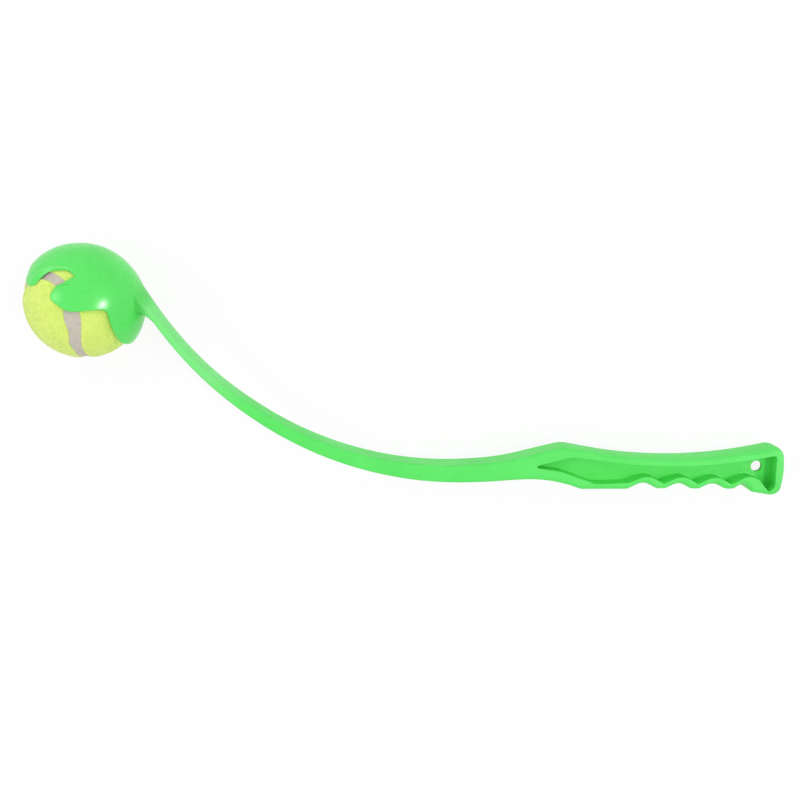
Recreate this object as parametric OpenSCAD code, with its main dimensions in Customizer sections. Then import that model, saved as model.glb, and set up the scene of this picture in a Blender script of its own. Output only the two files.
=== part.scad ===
// Dog throwing stick: a moulded plastic thrower with a felt ball in the cup at its tip.
// It lies on its side. X runs along the grip, Z is up and Z = 0 is the surface under the cup.
// The thrower is symmetric about the level plane through the ball's centre.

/* [Ball] */
// Outer diameter of the felt ball
ball_d = 65; // [58:0.5:70]
// Thickness of the felt cover
felt_t = 3; // [2:0.1:4]
// Width of the seam between the two felt panels
seam_w = 7; // [4:0.5:9]
// Depth of the seam's face below the felt
seam_recess = 0.8; // [0.3:0.1:1.5]
// Room between the seam and a felt panel
seam_gap = 0.15; // [0.1:0.05:0.4]
// Wall of the hollow rubber core
core_wall = 3.4; // [2.5:0.1:5]
// Thickness of the cement ring between the core halves
cement_t = 0.6; // [0.4:0.1:1]
// Room between the cement ring and a core half
cement_gap = 0.05; // [0.03:0.01:0.1]
// Adhesive layer between the core and the felt
glue_gap = 0.3; // [0.2:0.05:0.6]
// How the ball lies in the cup: its turn about X
roll_x = -48; // [-180:1:180]
// Its turn about Y
roll_y = 16; // [-90:1:90]
// Its turn about Z
roll_z = -5; // [-180:1:180]

/* [Cup] */
// Room between the ball and the cup
cup_clearance = 0.7; // [0.6:0.05:1.5]
// Wall of the cup
cup_wall = 1.7; // [1.2:0.1:3]
// Angle along the dome from the arm's root to the crown
crown_angle = 42; // [36:1:48]
// Reach of the front claw past the ball's equator
claw_wrap = 8; // [2:0.5:9]
// Angle from the cup's middle to the claw's inner corners
claw_in = 38; // [35:0.5:42]
// Angle from the cup's middle to the claw's outer corners
claw_out = 55.5; // [50:0.5:60]
// Height of the claw's middle above the equator
claw_mid = 3; // [0:0.5:6]
// Reach of the rear lobe past the equator
rear_wrap = 7.5; // [2:0.5:9]
// Reach of the side lobes past the equator
side_wrap = 1.6; // [0.8:0.1:4]
// Angle from the cup's middle to the front of the side lobes
lobe_front = 11.5; // [8:0.5:14]
// Angle from the cup's middle to the back of the side lobes
lobe_back = 6.5; // [4:0.5:10]
// Height of the shoulder at the front of the side lobes
lobe_shoulder = 11; // [8:0.5:14]
// Height of the front bays above the equator
front_bay = 30; // [24:0.5:36]
// Angle from the cup's middle to the front end of the front bays
bay_front = 25.5; // [22:0.5:30]
// Angle from the cup's middle to the back end of the front bays
bay_back = 3; // [0:0.5:6]
// Height of the rear bays above the equator
rear_bay = 19; // [12:0.5:26]
// Angle from the cup's middle to the rear bays
rear_bay_at = 33; // [28:0.5:38]
// Angle from the cup's middle to the rear lobe's corners
rear_tip = 75; // [65:0.5:80]

/* [Cup rounding] */
// Radius of the claw's corners
claw_r = 3; // [1:0.1:4]
// Radius at the front of the front bays
bay_r = 8; // [4:0.5:9]
// Radius at the back of the front bays and at the shoulders
bay_back_r = 2.4; // [1:0.1:3]
// Radius at the front of the side lobes
lobe_front_r = 3.5; // [1:0.1:4]
// Radius at the back of the side lobes
lobe_back_r = 12; // [6:0.5:14]
// Radius in the rear bays
rear_bay_r = 3.2; // [1:0.1:5]

/* [Arm] */
// Radius of the arm's curve, at its middle line
arm_r = 214; // [150:1:300]
// Angle that the arm's curve turns through
arm_sweep = 68.8; // [50:0.2:80]
// Slope of the arm where it meets the grip
arm_rise = 8; // [2:0.5:12]
// Angle between the arm and the dome's skin at the root
arm_leave = 18; // [14:1:24]
// Thickness of the arm at the cup
arm_t_cup = 3.8; // [3.4:0.1:6]
// Thickness of the arm at the grip
arm_t_grip = 11.7; // [9:0.1:13]
// Width of the arm at the cup
arm_w_cup = 14; // [10:0.5:18]
// Radius of the arm's long edges
arm_edge_r = 1.5; // [0.6:0.1:1.6]
// Length in which the arm's root thins out inside the dome
root_fade = 12; // [10:0.5:16]

/* [Grip] */
// Width of the grip, also the arm's width there
grip_w = 20; // [16:0.5:26]
// Distance from the arm joint to the hump on top
hump_x = 36; // [30:0.5:42]
// Height of the hump's corner above the arm joint
hump_h = 14.2; // [12:0.1:17]
// Radius of the hump
hump_r = 20; // [8:0.5:30]
// Distance from the arm joint to the hollow on top
hollow_x = 108; // [95:1:120]
// Height of the hollow's corner above the arm joint
hollow_h = 2.2; // [0:0.1:5]
// Radius of the hollow
hollow_r = 280; // [100:5:300]
// Height of the butt's top corner
butt_h = 14.8; // [12:0.1:18]
// Depth of the butt's lower corner
butt_drop = 15.6; // [13:0.1:19]
// Radius of the butt's corners
butt_r = 6.5; // [4:0.1:8]
// Length of the butt behind the last groove
butt_len = 25.5; // [21:0.5:32]
// Distance from the arm joint to the shoulder under the grip
shoulder_x = 26.5; // [22:0.5:30]
// Depth of the shoulder's corner
shoulder_drop = 4.1; // [3:0.1:5]
// Radius of the shoulder
shoulder_r = 80; // [30:1:100]
// Distance from the arm joint to the flat under the grip
flat_x = 46; // [42:0.5:52]
// Length of that flat
flat_len = 29; // [22:0.5:40]
// Depth of that flat below the arm joint
flat_drop = 11.3; // [10:0.1:13]
// Radius where the flat starts
flat_r = 6; // [2:0.5:12]

/* [Finger grooves] */
// Number of full finger grooves
groove_count = 3; // [2:1:4]
// Distance from one finger groove to the next
groove_pitch = 20; // [18:0.5:24]
// Height of a groove's slopes, taken to their corner
groove_rise = 6.5; // [4:0.1:7]
// Radius of the finger grooves
groove_r = 12; // [6:0.5:14]
// Radius of the ridges between them
ridge_r = 3; // [1:0.1:4]
// Half width of the narrow groove before the butt
last_groove_half = 7; // [6:0.5:10]
// Radius of the narrow groove
last_groove_r = 5; // [2:0.1:6]
// Depth of the hook behind the narrow groove
hook_drop = 13; // [11:0.1:14]

/* [Pockets] */
// Thickness of the web between the two pockets
web_t = 2.5; // [1.5:0.1:4]
// Thickness of the flanges round the pockets
flange_t = 3.3; // [2.5:0.1:3.8]
// Thickness of the wall at the butt
end_t = 5.5; // [4:0.1:8]
// Thickness under the slope in front of the flat
heel_t = 6.5; // [5:0.1:8]
// Distance from the arm joint to the pockets' pointed end
tip_x = 19.5; // [17:0.5:23]
// Height of the pockets' pointed end
tip_h = 2.7; // [1.5:0.1:3.5]
// Radius of the pockets' pointed end
tip_r = 1.1; // [0.6:0.1:1.5]
// Distance from the hump to the pockets' corner below it
brow_x = 4; // [1:0.5:7]
// Depth of the pockets' corner below the hump's corner
brow_t = 5.2; // [4.4:0.1:6.5]
// Radius of that corner
brow_r = 8; // [3:0.5:12]
// Distance from the arm joint to the pockets' lower bend
heel_x = 33; // [30:0.5:36]
// Height of the lower bend
heel_h = 0.2; // [-0.5:0.1:0.8]
// Radius of the lower bend
heel_r = 10; // [4:0.5:16]
// Smallest radius in the pockets' corners
pocket_r = 0.5; // [0.3:0.1:1]

/* [Hang hole] */
// Diameter of the hang hole
hole_d = 6.6; // [4:0.1:8]
// Distance from the hole's centre to the butt wall
hole_inset = 8; // [6:0.1:12]
// Height of the hole's centre above the arm joint
hole_h = 1.8; // [-1:0.1:3]

/* [Hidden] */
$fn = 96;
plastic = "limegreen";
felt = "greenyellow";
rubber = "dimgray";

// Radii of the ball and the cup
ball_r = ball_d / 2;
felt_in_r = ball_r - felt_t;
core_r = felt_in_r - glue_gap;
core_in_r = core_r - core_wall;
cup_in_r = ball_r + cup_clearance;
cup_r = cup_in_r + cup_wall;
cup_mid_r = (cup_in_r + cup_r) / 2;
// Length by which a cut reaches past a face
over = 1;

// Largest distance between a true arc and the chords that stand for it
arc_tol = 0.03;
// How steeply the arm thickens towards the grip
taper_power = 1.25;
// Steps along the arm and round one of its edges
arm_steps = 48;
edge_steps = 4;
// Steps along the seam, and rings from a felt panel's middle to its edge
seam_steps = 72;
felt_rings = 12;
// Steps from the cup's front to its rear, from its middle to a side, and in one stretch of the rim
cup_steps = 60;
cup_half = 8;
rim_split = 8;

// Plan of the arm: the arm joint at the grip is at [0, 0], and the slope is the arm's direction
arm_len = arm_r * arm_sweep * PI / 180;
root_slope = arm_rise - arm_sweep;
function slope_at(s) = root_slope + s / arm_r * 180 / PI;
function normal_at(s) = [-sin(slope_at(s)), cos(slope_at(s))];
function arm_at(s) = arm_r * (normal_at(arm_len) - normal_at(s));
function share_at(s) = max(s, 0) / arm_len;
function root_thin(s) = arm_t_cup * min(s, 0) / root_fade;
function arm_t_at(s) = arm_t_cup + (arm_t_grip - arm_t_cup) * pow(share_at(s), taper_power) + root_thin(s);
function arm_w_at(s) = arm_w_cup + (grip_w - arm_w_cup) * (1 - pow(1 - share_at(s), 2));

// The ball's centre follows from where the arm leaves the dome
root_angle = root_slope + 90 - arm_leave;
ball_at = arm_at(0) - cup_mid_r * [cos(root_angle), sin(root_angle)];
crown = root_angle + crown_angle;

// Rounded outlines: a list of corners [x, y, radius] becomes points, with an arc at each corner
function unit(v) = v / norm(v);
function xy(c) = [c[0], c[1]];
function at(list, i) = list[(i + len(list)) % len(list)];
function to_last(list, i) = xy(at(list, i - 1)) - xy(at(list, i));
function to_next(list, i) = xy(at(list, i + 1)) - xy(at(list, i));
function half_angle(list, i) = acos(unit(to_last(list, i)) * unit(to_next(list, i))) / 2;
function tangent(list, i) = at(list, i)[2] / tan(half_angle(list, i));
function room(list, i, j, edge) = norm(edge) / max(tangent(list, i) + tangent(list, j), arc_tol);
function fit(list, i) =
    min(1, room(list, i, i - 1, to_last(list, i)), room(list, i, i + 1, to_next(list, i)));
function arc_steps(r, turn) = max(1, ceil(turn / (2 * acos(1 - arc_tol / r))));
function turn_way(list, i) = sign(cross(-to_last(list, i), to_next(list, i)));
function bend(middle, start, turn, steps) = [
    for (k = [0 : steps])
        let(a = atan2(start[1], start[0]) + turn * k / steps)
        middle + norm(start) * [cos(a), sin(a)]
];
function arc(list, i, r) =
    let(c = xy(at(list, i)), half = half_angle(list, i), turn = 180 - 2 * half)
    let(a = unit(to_last(list, i)), b = unit(to_next(list, i)))
    let(middle = c + unit(a + b) * r / sin(half), start = c + a * r / tan(half) - middle)
    bend(middle, start, turn_way(list, i) * turn, arc_steps(r, turn));
function round_corner(list, i) =
    let(r = at(list, i)[2] * fit(list, i))
    r > 2 * arc_tol ? arc(list, i, r) : [xy(at(list, i))];
function rounded(list) = [for (i = [0 : len(list) - 1]) each round_corner(list, i)];

// Rim of the cup in its own plan: X to the crown, Y to the front, angles seen from the ball's centre
function rim(along, up, r) = [cup_r * sin(up), cup_r * sin(along), r];
rim_corners = [
    rim(90 - claw_mid, claw_mid, 0),
    rim(claw_out, -claw_wrap, claw_r),
    rim(claw_in, -claw_wrap, claw_r),
    rim(bay_front, front_bay, bay_r),
    rim(bay_back, front_bay, bay_back_r),
    rim(lobe_front, lobe_shoulder, bay_back_r),
    rim(lobe_front, -side_wrap, lobe_front_r),
    rim(-lobe_back, -side_wrap, lobe_back_r),
    rim(-rear_bay_at, rear_bay, rear_bay_r),
    rim(-rear_tip, -rear_wrap, lobe_front_r),
    rim(rear_wrap - 90, -rear_wrap, 0)
];
// The near side of the rim from front to rear, on the dome, with the distance along it
function on_dome(p) = [p[0], p[1], sqrt(max(cup_r * cup_r - p * p, 0))];
rim_plan = rounded(rim_corners);
rim_points = [
    for (i = [0 : len(rim_plan) - 2]) for (k = [i == 0 ? 0 : 1 : rim_split])
        on_dome(rim_plan[i] + (rim_plan[i + 1] - rim_plan[i]) * k / rim_split)
];
rim_last = len(rim_points) - 1;
function rim_step(i) = i > rim_last ? 0 : norm(rim_points[i] - rim_points[i - 1]);
rim_way = [for (i = 0, s = 0; i <= rim_last; i = i + 1, s = s + rim_step(i)) s];
function along_rim(s, axis) = lookup(s, [for (i = [0 : rim_last]) [rim_way[i], rim_points[i][axis]]]);
rim_x = [for (i = [0 : cup_steps]) along_rim(rim_way[rim_last] * i / cup_steps, 0)];
rim_y = [for (i = [0 : cup_steps]) along_rim(rim_way[rim_last] * i / cup_steps, 1)];
// A line over the cup from the rim at one side to the rim at the other, through the dome's middle line
function cup_dir(i, j) =
    let(m = 90 - claw_mid + (rear_wrap + claw_mid - 180) * i / cup_steps, t = abs(j) / cup_half)
    let(x = rim_x[i] + (cup_r * cos(m) - rim_x[i]) * cos(90 * t))
    let(y = cup_r * sin(m) + (rim_y[i] - cup_r * sin(m)) * t * t)
    let(p = on_dome([x, y]))
    unit([p[0], p[1], sign(j) * p[2]]);

// Side outline of the grip, clockwise from the top of the arm joint
joint_top = normal_at(arm_len) * arm_t_grip / 2;
flat_end = flat_x + flat_len;
last_groove_x = flat_end + groove_pitch * groove_count + last_groove_half;
hook_x = last_groove_x + last_groove_half;
grip_end = last_groove_x + butt_len;
groove_h = groove_rise - flat_drop;
grip_corners = concat(
    [
        [joint_top[0], joint_top[1], 0],
        [hump_x, hump_h, hump_r],
        [hollow_x, hollow_h, hollow_r],
        [grip_end, butt_h, butt_r],
        [grip_end, -butt_drop, butt_r],
        [hook_x, -hook_drop, ridge_r],
        [last_groove_x, groove_h, last_groove_r]
    ],
    [
        for (i = [groove_count : -1 : 1]) each [
            [flat_end + groove_pitch * i, -flat_drop, ridge_r],
            [flat_end + groove_pitch * (i - 0.5), groove_h, groove_r]
        ]
    ],
    [
        [flat_end, -flat_drop, ridge_r],
        [flat_x, -flat_drop, flat_r],
        [shoulder_x, -shoulder_drop, shoulder_r],
        [-joint_top[0], -joint_top[1], 0]
    ]
);
grip_outline = rounded(grip_corners);

// Outline of a pocket: the grip's corners from the hollow to the flat moved in by the walls
hollow_i = 2;
butt_i = 3;
flat_i = len(grip_corners) - 3;
function wall(i) = i == butt_i ? end_t : i == flat_i ? heel_t : flange_t;
function inward(v) = [v[1], -v[0]] / norm(v);
function moved_in(i) =
    let(a = inward(-to_last(grip_corners, i)), b = inward(to_next(grip_corners, i)))
    let(p = wall(i - 1), q = wall(i), area = cross(a, b))
    xy(grip_corners[i]) + [p * b[1] - q * a[1], q * a[0] - p * b[0]] / area;
function pocket_round(i) =
    max(grip_corners[i][2] + turn_way(grip_corners, i) * wall(i), pocket_r);
pocket_corners = concat(
    [[tip_x, tip_h, tip_r], [hump_x + brow_x, hump_h - brow_t, brow_r]],
    [for (i = [hollow_i : flat_i]) let(c = moved_in(i)) [c[0], c[1], pocket_round(i)]],
    [[heel_x, heel_h, heel_r]]
);
hole_x = grip_end - end_t - hole_inset;

// Middle of the whole part, which lies with the cup's side on Z = 0
x_mid = (ball_at[0] - ball_r + grip_end) / 2;
y_mid = (ball_at[1] + cup_r + min([for (p = grip_outline) p[1]])) / 2;
shift = [-x_mid, -y_mid, cup_r];

// Seam of the ball on a unit sphere, with its direction and the way to panel a
seam_a = 0.76;
seam_b = 1 - seam_a;
seam_c = 2 * sqrt(seam_a * seam_b);
function seam_at(t) = [
    seam_a * cos(t) + seam_b * cos(3 * t),
    seam_a * sin(t) - seam_b * sin(3 * t),
    seam_c * sin(2 * t)
];
function seam_way(t) = [
    -seam_a * sin(t) - 3 * seam_b * sin(3 * t),
    seam_a * cos(t) - 3 * seam_b * cos(3 * t),
    2 * seam_c * cos(2 * t)
];
function beside_seam(t, w) = unit(seam_at(t) + unit(cross(seam_at(t), seam_way(t))) * w / ball_r);
function felt_dir(i, j) =
    let(e = beside_seam(360 * i / seam_steps, seam_w / 2), tilt = acos(e[2]) * j / felt_rings)
    let(turn = atan2(e[1], e[0]))
    [sin(tilt) * cos(turn), sin(tilt) * sin(turn), cos(tilt)];
function seam_ring(t) =
    let(half = seam_w / 2 - seam_gap, a = beside_seam(t, half), b = beside_seam(t, -half))
    [a * (ball_r - seam_recess), b * (ball_r - seam_recess), b * felt_in_r, a * felt_in_r];

// Section of the arm: a rectangle with rounded edges, from the normal towards Z
function section_turn(s, q, k) =
    let(a = 90 * (q + k / edge_steps), side = [cos(90 * q + 45), sin(90 * q + 45)] * sqrt(2))
    let(r = min(arm_edge_r, 0.4 * arm_t_at(s)))
    let(n = side[0] * (arm_t_at(s) / 2 - r) + r * cos(a))
    let(z = side[1] * (arm_w_at(s) / 2 - r) + r * sin(a))
    let(p = arm_at(s) + normal_at(s) * n)
    [p[0], p[1], z];
function section(s) = [for (q = [0 : 3]) for (k = [0 : edge_steps]) section_turn(s, q, k)];

// Four points in a patch give two triangles
function patch(a, b, c, d) = [[a, b, c], [a, c, d]];

// Skin over rings that run counter-clockwise about the way that they follow
module skin(rings, closed) {
    n = len(rings[0]);
    m = len(rings);
    sides = [
        for (i = [0 : closed ? m - 1 : m - 2]) for (j = [0 : n - 1])
            let(u = (i + 1) % m, v = (j + 1) % n)
            each patch(i * n + j, u * n + j, u * n + v, i * n + v)
    ];
    ends = closed ? [] : [[for (j = [0 : n - 1]) j], [for (j = [n - 1 : -1 : 0]) (m - 1) * n + j]];
    polyhedron(points = [for (ring = rings) each ring], faces = concat(sides, ends));
}

// Shell between two spheres: its outer faces, the same faces inside, and a wall round the loop
module shell(dirs, faces, loop, r_out, r_in) {
    n = len(dirs);
    inside = [for (f = faces) [f[2] + n, f[1] + n, f[0] + n]];
    edge = [
        for (i = [0 : len(loop) - 1])
            let(a = loop[i], b = at(loop, i + 1))
            each patch(a, b, b + n, a + n)
    ];
    polyhedron(points = concat(r_out * dirs, r_in * dirs), faces = concat(faces, inside, edge));
}

module felt_panel() {
    n = seam_steps;
    last = 1 + n * (felt_rings - 1);
    dirs = [for (j = [1 : felt_rings]) for (i = [0 : n - 1]) felt_dir(i, j)];
    middle = [for (i = [0 : n - 1]) [0, 1 + (i + 1) % n, 1 + i]];
    bands = [
        for (j = [0 : felt_rings - 2]) for (i = [0 : n - 1])
            let(a = 1 + j * n + i, b = 1 + j * n + (i + 1) % n)
            each patch(a, b, b + n, a + n)
    ];
    loop = [for (i = [0 : n - 1]) last + i];
    shell(concat([[0, 0, 1]], dirs), concat(middle, bands), loop, ball_r, felt_in_r);
}

module cup_shell() {
    n = 2 * cup_half + 1;
    rear = 1 + (cup_steps - 1) * n;
    dirs = [for (i = [1 : cup_steps - 1]) for (j = [-cup_half : cup_half]) cup_dir(i, j)];
    front_fan = [for (j = [1 : n - 1]) [0, j, j + 1]];
    rear_fan = [for (j = [1 : n - 1]) [rear - j, rear - j - 1, rear]];
    bands = [
        for (i = [0 : cup_steps - 3]) for (j = [1 : n - 1])
            let(a = i * n + j)
            each patch(a, a + n, a + n + 1, a + 1)
    ];
    near = [for (i = [1 : cup_steps - 1]) i * n];
    far = [for (i = [cup_steps - 1 : -1 : 1]) (i - 1) * n + 1];
    shell(
        concat([cup_dir(0, 0)], dirs, [cup_dir(cup_steps, 0)]),
        concat(front_fan, bands, rear_fan),
        concat([0], near, [rear], far),
        cup_r, cup_in_r
    );
}

module core_half() {
    difference() {
        sphere(core_r);
        sphere(core_in_r);
        translate([-core_r, -core_r, -2 * core_r + cement_t / 2 + cement_gap])
            cube(2 * core_r);
    }
}

module in_cup() {
    translate(shift + [ball_at[0], ball_at[1], 0])
        rotate([roll_x, roll_y, roll_z])
        children();
}

module ball_cup() {
    color(plastic)
    translate(shift)
    translate(ball_at)
    rotate(crown)
        cup_shell();
}

module throwing_arm() {
    root = -root_fade / 2;
    color(plastic)
    translate(shift)
    difference() {
        skin([for (i = [0 : arm_steps]) section(root + (arm_len - root) * i / arm_steps)], false);
        translate(ball_at)
            sphere(cup_r);
    }
}

module pocket() {
    translate([0, 0, web_t / 2])
    linear_extrude(grip_w)
        polygon(rounded(pocket_corners));
}

module grip_handle() {
    color(plastic)
    translate(shift)
    difference() {
        linear_extrude(grip_w, center = true)
            polygon(grip_outline);
        pocket();
        mirror([0, 0, 1])
            pocket();
        translate([hole_x, hole_h, 0])
            cylinder(d = hole_d, h = web_t + 2 * over, center = true);
    }
}

module felt_panel_a() {
    color(felt)
    in_cup()
        felt_panel();
}

module felt_panel_b() {
    color(felt)
    in_cup()
    rotate([180, 0, 0])
        felt_panel();
}

module felt_seam() {
    color("tan")
    in_cup()
        skin([for (i = [0 : seam_steps - 1]) seam_ring(360 * i / seam_steps)], true);
}

module core_half_a() {
    color(rubber)
    in_cup()
        core_half();
}

module core_half_b() {
    color(rubber)
    in_cup()
    rotate([180, 0, 0])
        core_half();
}

module core_cement() {
    color("gray")
    in_cup()
    difference() {
        intersection() {
            sphere(core_r);
            cylinder(r = core_r + over, h = cement_t, center = true);
        }
        sphere(core_in_r);
    }
}

ball_cup();
throwing_arm();
grip_handle();
felt_panel_a();
felt_panel_b();
felt_seam();
core_half_a();
core_half_b();
core_cement();
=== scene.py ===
import bmesh
import bpy
import numpy as np
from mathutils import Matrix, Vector


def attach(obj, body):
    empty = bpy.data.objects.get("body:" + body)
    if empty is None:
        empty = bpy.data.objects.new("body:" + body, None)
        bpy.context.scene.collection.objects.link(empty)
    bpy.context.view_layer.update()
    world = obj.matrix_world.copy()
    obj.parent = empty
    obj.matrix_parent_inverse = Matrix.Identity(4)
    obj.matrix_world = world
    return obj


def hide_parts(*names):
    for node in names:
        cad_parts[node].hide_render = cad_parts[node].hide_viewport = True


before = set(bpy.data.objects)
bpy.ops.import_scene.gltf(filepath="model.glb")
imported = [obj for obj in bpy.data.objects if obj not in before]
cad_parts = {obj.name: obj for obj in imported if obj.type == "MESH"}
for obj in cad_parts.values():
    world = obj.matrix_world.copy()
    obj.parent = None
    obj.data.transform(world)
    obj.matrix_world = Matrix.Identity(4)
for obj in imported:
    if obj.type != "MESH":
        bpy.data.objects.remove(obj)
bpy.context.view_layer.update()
scene = bpy.context.scene
print("frame loaded:", sorted(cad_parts))

# places in the part's frame; all shapes below are worked out in millimetres
layout = {
    "scale": 0.001,
    "ballAt": np.array([-192.495, 40.308, 34.9]),
    "jointAt": np.array([57.4949, -60.5937, 34.9]),  # where the arm meets the grip
    "crown": 53.2,  # direction of the cup's crown in plan, degrees
    "mirror": np.array([1, 1, -1]),  # from the near side to the far side
    "mergeWithin": 2e-6, "emptyUnder": 1e-7,  # metres
}


# unit vectors along the last axis
def unit(v):
    return v / np.linalg.norm(v, axis=-1, keepdims=True)


# plan vectors turned a quarter to the left
def leftOf(v):
    return np.stack([-v[..., 1], v[..., 0]], axis=-1)


# smooth step from 0 to 1
def ease(t):
    t = np.clip(t, 0, 1)
    return t * t * (3 - 2 * t)


# smooth step that begins at a start and takes a span
def easeFrom(value, start, span):
    return ease((value - start) / span)


# corners [x, y, radius] of a closed outline become points: at each corner an arc that touches both sides,
# with its radius cut back where two arcs would meet; also gives the index of each arc's middle
def roundCorners(corners, arcSteps=64):
    c = np.array(corners, float)
    at, r = c[:, :2], c[:, 2]
    toLast, toNext = np.roll(at, 1, 0) - at, np.roll(at, -1, 0) - at
    a, b = unit(toLast), unit(toNext)
    half = np.arccos(np.clip((a * b).sum(1), -1, 1)) / 2
    reach = r / np.tan(half)
    room = np.minimum(np.linalg.norm(toLast, axis=1) / np.maximum(reach + np.roll(reach, 1), 1e-6),
                      np.linalg.norm(toNext, axis=1) / np.maximum(reach + np.roll(reach, -1), 1e-6))
    r = r * np.minimum(1, room)
    points, middles, count = [], [], 0
    for i in range(len(c)):
        if r[i] <= 0:
            arc = at[i:i + 1]
        else:
            centre = at[i] + unit(a[i] + b[i]) * r[i] / np.sin(half[i])
            start = at[i] + a[i] * r[i] / np.tan(half[i]) - centre
            way = np.sign(a[i, 1] * b[i, 0] - a[i, 0] * b[i, 1])
            sweep = way * (np.pi - 2 * half[i]) * np.linspace(0, 1, arcSteps + 1)
            turn = np.arctan2(start[1], start[0]) + sweep
            arc = centre + r[i] * np.stack([np.cos(turn), np.sin(turn)], 1)
        points.append(arc)
        middles.append(count + len(arc) // 2)
        count += len(arc)
    return np.vstack(points), middles


# distance along a row of points
def wayAlong(points):
    return np.r_[0, np.cumsum(np.linalg.norm(np.diff(points, axis=0), axis=1))]


# points at given distances along a row of points
def atWay(points, way, where):
    return np.stack([np.interp(where, way, points[:, k]) for k in range(points.shape[1])], 1)


# each straight step of a row of points cut into equal parts
def splitSteps(points, parts):
    t = np.arange(parts) / parts
    cut = points[:-1, None] + (points[1:, None] - points[:-1, None]) * t[None, :, None]
    return np.vstack([cut.reshape(-1, points.shape[1]), points[-1:]])


# quads of a grid of rows and closed columns, as vertex numbers
def gridFaces(rows, cols, roundRows=False):
    i = np.arange(rows if roundRows else rows - 1)[:, None]
    j = np.arange(cols)[None, :]
    u, v = (i + 1) % rows, (j + 1) % cols
    return np.stack([i * cols + j, i * cols + v, u * cols + v, u * cols + j], -1).reshape(-1, 4)


# a mesh object from points in millimetres: doubles merged, empty faces dropped, faces turned outwards
def makePiece(name, points, faces, body, material, replaced=(), edgeHighlight=None):
    mesh = bpy.data.meshes.new(name)
    mesh.from_pydata((points * layout["scale"]).tolist(), [], faces.tolist())
    # an optional per-point share of a painted highlight is kept as a point attribute
    if edgeHighlight is not None:
        mesh.attributes.new("edgeHighlight", "FLOAT", "POINT").data.foreach_set("value", edgeHighlight)
    work = bmesh.new()
    work.from_mesh(mesh)
    bmesh.ops.remove_doubles(work, verts=work.verts, dist=layout["mergeWithin"])
    bmesh.ops.dissolve_degenerate(work, edges=work.edges, dist=layout["emptyUnder"])
    bmesh.ops.recalc_face_normals(work, faces=work.faces)
    work.to_mesh(mesh)
    work.free()
    mesh.polygons.foreach_set("use_smooth", np.ones(len(mesh.polygons), bool))
    piece = bpy.data.objects.new(name, mesh)
    scene.collection.objects.link(piece)
    mesh.materials.append(material)
    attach(piece, body)
    if replaced:
        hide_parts(*replaced)
    print(name, "has", len(mesh.polygons), "faces")


# materials: each is a principled shader with noises on Object coordinates; a look gives each noise's cells
# per metre, detail and roughness, and each bump's strength and distance in metres
def newMaterial(name):
    material = bpy.data.materials.new(name)
    material.use_nodes = True
    nodes, links = material.node_tree.nodes, material.node_tree.links
    place = nodes.new("ShaderNodeTexCoord")
    return material, nodes, links, nodes["Principled BSDF"], place.outputs["Object"]


def addNoise(nodes, links, place, scale, detail=3.0, roughness=0.6):
    noise = nodes.new("ShaderNodeTexNoise")
    noise.inputs["Scale"].default_value = scale
    noise.inputs["Detail"].default_value = detail
    noise.inputs["Roughness"].default_value = roughness
    links.new(place, noise.inputs["Vector"])
    return noise.outputs["Fac"]


# colours spread over the middle of a noise
def addRamp(nodes, links, value, colours, low=0.3, high=0.7):
    ramp = nodes.new("ShaderNodeValToRGB")
    steps = ramp.color_ramp.elements
    while len(steps) < len(colours):
        steps.new(0.5)
    for k, colour in enumerate(colours):
        steps[k].position = low + (high - low) * k / (len(colours) - 1)
        steps[k].color = (*colour, 1)
    links.new(value, ramp.inputs["Fac"])
    return ramp.outputs["Color"]


# a value moved from the span to the range from low to high
def addRange(nodes, links, value, low, high, span=(0.3, 0.7)):
    moved = nodes.new("ShaderNodeMapRange")
    for key, number in {"From Min": span[0], "From Max": span[1], "To Min": low, "To Max": high}.items():
        moved.inputs[key].default_value = number
    links.new(value, moved.inputs["Value"])
    return moved.outputs["Result"]


# distance to a point
def addDistance(nodes, links, place, point):
    measure = nodes.new("ShaderNodeVectorMath")
    measure.operation = "DISTANCE"
    measure.inputs[1].default_value = point
    links.new(place, measure.inputs[0])
    return measure.outputs["Value"]


# two colours mixed; the share and the second colour may be fixed or come from a node
def addBlend(nodes, links, kind, share, a, b):
    mix = nodes.new("ShaderNodeMix")
    mix.data_type = "RGBA"
    mix.blend_type = kind
    factor, first, second = mix.inputs[0], mix.inputs[6], mix.inputs[7]
    links.new(a, first)
    if isinstance(share, float):
        factor.default_value = share
    else:
        links.new(share, factor)
    if isinstance(b, tuple):
        second.default_value = (*b, 1)
    else:
        links.new(b, second)
    return mix.outputs[2]


# bumps stacked from a height and its (strength, distance in metres)
def addBumps(nodes, links, shader, layers):
    normal = None
    for height, (strength, distance) in layers:
        bump = nodes.new("ShaderNodeBump")
        bump.inputs["Strength"].default_value = strength
        bump.inputs["Distance"].default_value = distance
        links.new(height, bump.inputs["Height"])
        if normal:
            links.new(normal, bump.inputs["Normal"])
        normal = bump.outputs["Normal"]
    links.new(normal, shader.inputs["Normal"])


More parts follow.
